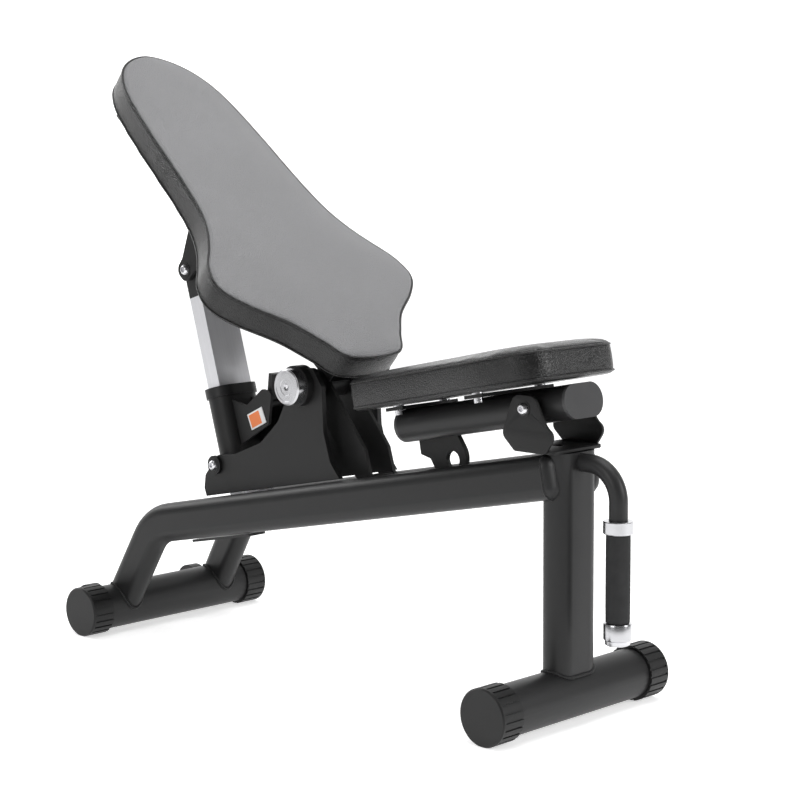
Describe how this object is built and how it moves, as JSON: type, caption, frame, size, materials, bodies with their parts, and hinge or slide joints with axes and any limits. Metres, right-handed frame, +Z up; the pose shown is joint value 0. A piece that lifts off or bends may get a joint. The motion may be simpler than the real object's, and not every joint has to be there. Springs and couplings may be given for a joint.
{
  "type": "adjustable weight bench",
  "caption": "Adjustable weight bench: padded backrest on a telescopic strut, tilting seat pad, bent oval-tube frame on two foot tubes, carry handle and transport wheels.",
  "frame": {"origin": "on the floor, under the middle of the bench's length and width", "axes": "+X towards the seat's front end, +Y to the left of someone lying on it facing up with head at -X, +Z up"},
  "size_m": [1.082, 0.4032, 0.9438],
  "materials": {
    "frame_paint": "matt textured powder coat, near black",
    "plate_paint": "matt powder coat, near black",
    "black_plastic": "moulded black plastic",
    "turned_aluminium": "turned with fine rings",
    "bright_steel": "bright zinc",
    "satin_bar": "satin silver",
    "bronze": "oiled bearing bronze",
    "foam_grip": "fine foam rubber",
    "board_wood": "plywood board",
    "grey_vinyl": "grey fine-textured vinyl face, black sides",
    "black_leather": "grained black leather vinyl",
    "label_print": "blank orange and white sticker"
  },
  "bodies": {
    "frame": {"rear_foot_tube": "frame_paint", "front_foot_tube": "frame_paint", "rear_foot_cap_left": "black_plastic", "rear_foot_cap_right": "black_plastic", "front_foot_cap_left": "black_plastic", "front_foot_cap_right": "black_plastic", "front_post": "frame_paint", "left_rail": "frame_paint", "right_rail": "frame_paint", "left_side_plate": "plate_paint", "right_side_plate": "plate_paint", "left_pivot_housing": "plate_paint", "right_pivot_housing": "plate_paint", "left_pivot_cap": "turned_aluminium", "right_pivot_cap": "turned_aluminium", "pivot_axle": "bright_steel", "strut_anchor_bosses": "plate_paint", "strut_anchor_bolts": "bright_steel", "base_tray": "frame_paint", "seat_bracket": "plate_paint", "seat_pivot_bolt": "bright_steel", "handle_tube": "frame_paint", "handle_grip": "foam_grip", "handle_collar": "turned_aluminium", "handle_end_cap": "turned_aluminium", "wheel_brackets": "plate_paint", "wheel_axles": "bright_steel"},
    "backrest": {"backrest_pad": "grey_vinyl", "backrest_board": "board_wood", "backrest_pivot_tube": "plate_paint", "pivot_bushes": "bronze", "backrest_spine": "frame_paint", "backrest_cross_bars": "plate_paint", "backrest_bolts": "bright_steel", "strut_clevis": "plate_paint", "strut_clevis_bolt": "bright_steel", "seat_lever_arms": "plate_paint", "roller_pin": "bright_steel"},
    "seat_roller": {"seat_roller": "black_plastic"},
    "strut_bar": {"strut_bar": "satin_bar", "strut_top_fitting": "black_plastic"},
    "strut_sleeve": {"strut_sleeve": "plate_paint", "sleeve_collar": "black_plastic", "lock_plates": "plate_paint", "lever_pin": "bright_steel", "blank_label": "label_print"},
    "release_lever": {"release_lever": "black_plastic"},
    "seat": {"seat_tube": "frame_paint", "seat_tube_front_cap": "black_plastic", "seat_tube_rear_cap": "black_plastic", "seat_pivot_sleeve": "bronze", "seat_cross_bars": "plate_paint", "seat_spacers": "turned_aluminium", "seat_bolts": "bright_steel", "seat_board": "board_wood", "seat_pad": "black_leather", "seat_cam_plate": "plate_paint", "seat_pivot_spacers": "black_plastic"},
    "left_wheel": {"left_wheel": "black_plastic"},
    "right_wheel": {"right_wheel": "black_plastic"}
  },
  "joints": [
    {"name": "backrest_tilt", "type": "hinge", "parent": "frame", "child": "backrest", "pos_m": [-0.037, 0, 0.432], "axis": [0, 1, 0], "range_deg": [-40.5, 39.5]},
    {"name": "seat_tilt", "type": "hinge", "parent": "frame", "child": "seat", "pos_m": [0.403, 0, 0.435], "axis": [0, 1, 0], "range_deg": [-11, 11.3]},
    {"name": "strut_swing", "type": "hinge", "parent": "backrest", "child": "strut_bar", "pos_m": [-0.328, 0, 0.594], "axis": [0, 1, 0], "range_deg": [-10, 10.3]},
    {"name": "strut_slide", "type": "slide", "parent": "strut_bar", "child": "strut_sleeve", "axis": [0.2868, 0, -0.958], "range_m": [-0.166, 0.162]},
    {"name": "release_lever_press", "type": "hinge", "parent": "strut_sleeve", "child": "release_lever", "pos_m": [-0.16395, 0, 0.3912], "axis": [0, 1, 0], "range_deg": [0, 12], "stiffness_Nm_per_rad": 0.6, "springref_deg": -5.73},
    {"name": "seat_roller_spin", "type": "hinge", "parent": "backrest", "child": "seat_roller", "pos_m": [0.07313, 0, 0.296], "axis": [0, 1, 0], "continuous": true},
    {"name": "left_wheel_spin", "type": "hinge", "parent": "frame", "child": "left_wheel", "pos_m": [-0.51, 0.108, 0.033], "axis": [0, 1, 0], "continuous": true},
    {"name": "right_wheel_spin", "type": "hinge", "parent": "frame", "child": "right_wheel", "pos_m": [-0.51, -0.108, 0.033], "axis": [0, 1, 0], "continuous": true}
  ],
  "couplings": [
    {"joint": "seat_tilt", "follows": "backrest_tilt", "ratio": -0.2765},
    {"joint": "strut_swing", "follows": "backrest_tilt", "ratio": -0.25},
    {"joint": "strut_slide", "follows": "backrest_tilt", "m_per_rad": 0.23262}
  ]
}
